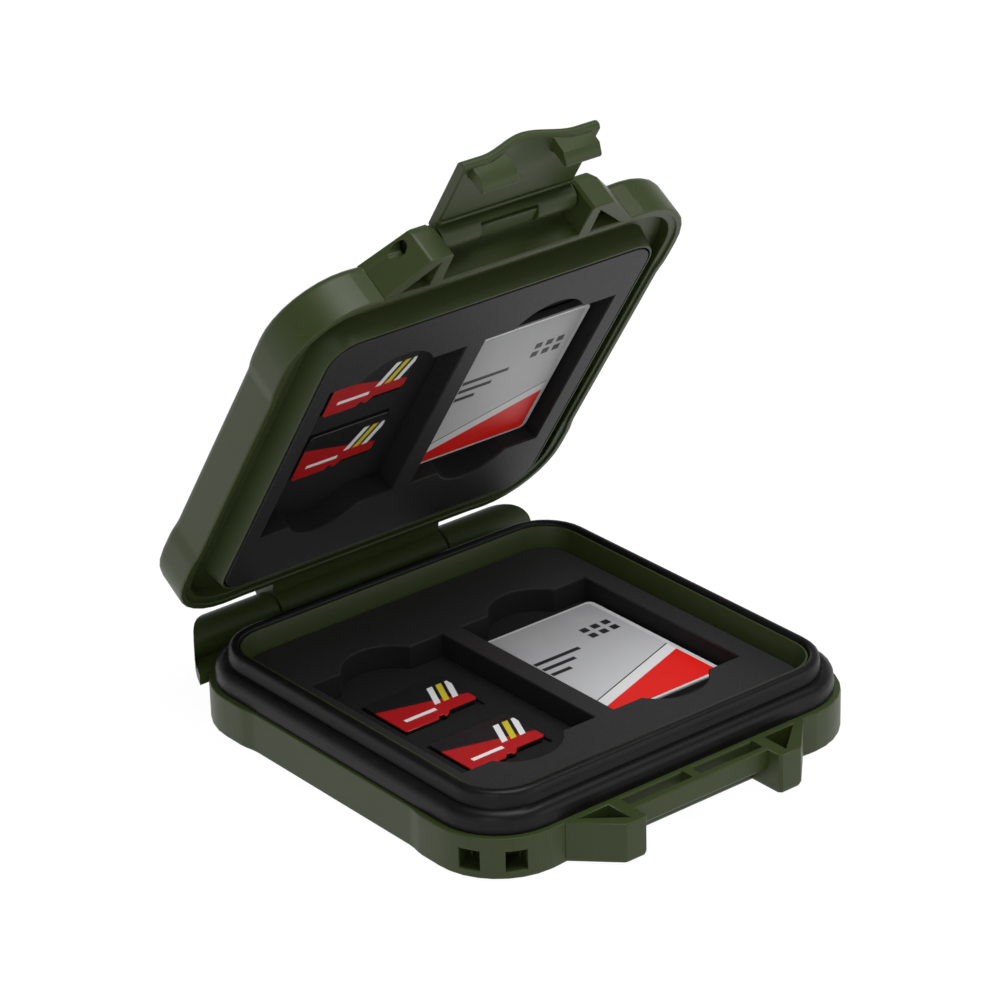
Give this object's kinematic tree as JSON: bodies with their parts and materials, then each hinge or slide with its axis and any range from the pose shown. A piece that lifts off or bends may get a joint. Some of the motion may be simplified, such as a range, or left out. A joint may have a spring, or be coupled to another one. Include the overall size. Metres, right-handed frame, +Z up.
{
  "type": "memory card case",
  "caption": "Pocket-size sealed plastic case for memory cards with a hinged lid, a folding latch, a rubber seal and pocketed foam.",
  "frame": {"origin": "centre of the flat underside", "axes": "+X along the hinge, +Y from the latch towards the hinge, +Z up"},
  "size_m": [0.076, 0.0913, 0.0975],
  "materials": {
    "green_plastic": "fine satin",
    "seal_rubber": "satin",
    "foam": "fine matt foam",
    "steel": "plain",
    "card_front": "printed label",
    "card_back": "plain",
    "contacts": "gold plated",
    "lock": "plain",
    "small_card": "printed"
  },
  "bodies": {
    "base": {"base_shell": "green_plastic", "base_seal": "seal_rubber", "base_foam_bed": "foam", "base_foam_frame": "foam", "hinge_pin": "steel"},
    "lid": {"lid_shell": "green_plastic", "lid_foam_bed": "foam", "lid_foam_frame": "foam", "latch_pin": "steel"},
    "latch": {"latch": "green_plastic"},
    "base_sd_card": {"base_sd_front": "card_front", "base_sd_back": "card_back", "base_sd_contacts": "contacts"},
    "base_sd_write_lock": {"base_sd_lock": "lock"},
    "base_micro_card_a": {"base_micro_a": "small_card", "base_micro_a_contacts": "contacts"},
    "base_micro_card_b": {"base_micro_b": "small_card", "base_micro_b_contacts": "contacts"},
    "lid_sd_card": {"lid_sd_front": "card_front", "lid_sd_back": "card_back", "lid_sd_contacts": "contacts"},
    "lid_sd_write_lock": {"lid_sd_lock": "lock"},
    "lid_micro_card_a": {"lid_micro_a": "small_card", "lid_micro_a_contacts": "contacts"},
    "lid_micro_card_b": {"lid_micro_b": "small_card", "lid_micro_b_contacts": "contacts"}
  },
  "joints": [
    {"name": "lid_hinge", "type": "hinge", "parent": "base", "child": "lid", "pos_m": [0, 0.0422, 0.00867], "axis": [-1, 0, 0], "range_deg": [-57, 118]},
    {"name": "latch_hinge", "type": "hinge", "parent": "lid", "child": "latch", "pos_m": [0, 0.00221, 0.08298], "axis": [-1, 0, 0], "range_deg": [-90, 30]},
    {"name": "base_sd_lift", "type": "slide", "parent": "base", "child": "base_sd_card", "axis": [0, 0, 1], "range_m": [0, 0.008]},
    {"name": "base_sd_lock_slide", "type": "slide", "parent": "base_sd_card", "child": "base_sd_write_lock", "axis": [0, -1, 0], "range_m": [0, 0.0024]},
    {"name": "base_micro_a_lift", "type": "slide", "parent": "base", "child": "base_micro_card_a", "axis": [0, 0, 1], "range_m": [0, 0.007]},
    {"name": "base_micro_b_lift", "type": "slide", "parent": "base", "child": "base_micro_card_b", "axis": [0, 0, 1], "range_m": [0, 0.007]},
    {"name": "lid_sd_lift", "type": "slide", "parent": "lid", "child": "lid_sd_card", "axis": [0, -0.8387, -0.5446], "range_m": [0, 0.008]},
    {"name": "lid_sd_lock_slide", "type": "slide", "parent": "lid_sd_card", "child": "lid_sd_write_lock", "axis": [0, 0.5446, -0.8387], "range_m": [0, 0.0024]},
    {"name": "lid_micro_a_lift", "type": "slide", "parent": "lid", "child": "lid_micro_card_a", "axis": [0, -0.8387, -0.5446], "range_m": [0, 0.007]},
    {"name": "lid_micro_b_lift", "type": "slide", "parent": "lid", "child": "lid_micro_card_b", "axis": [0, -0.8387, -0.5446], "range_m": [0, 0.007]}
  ]
}
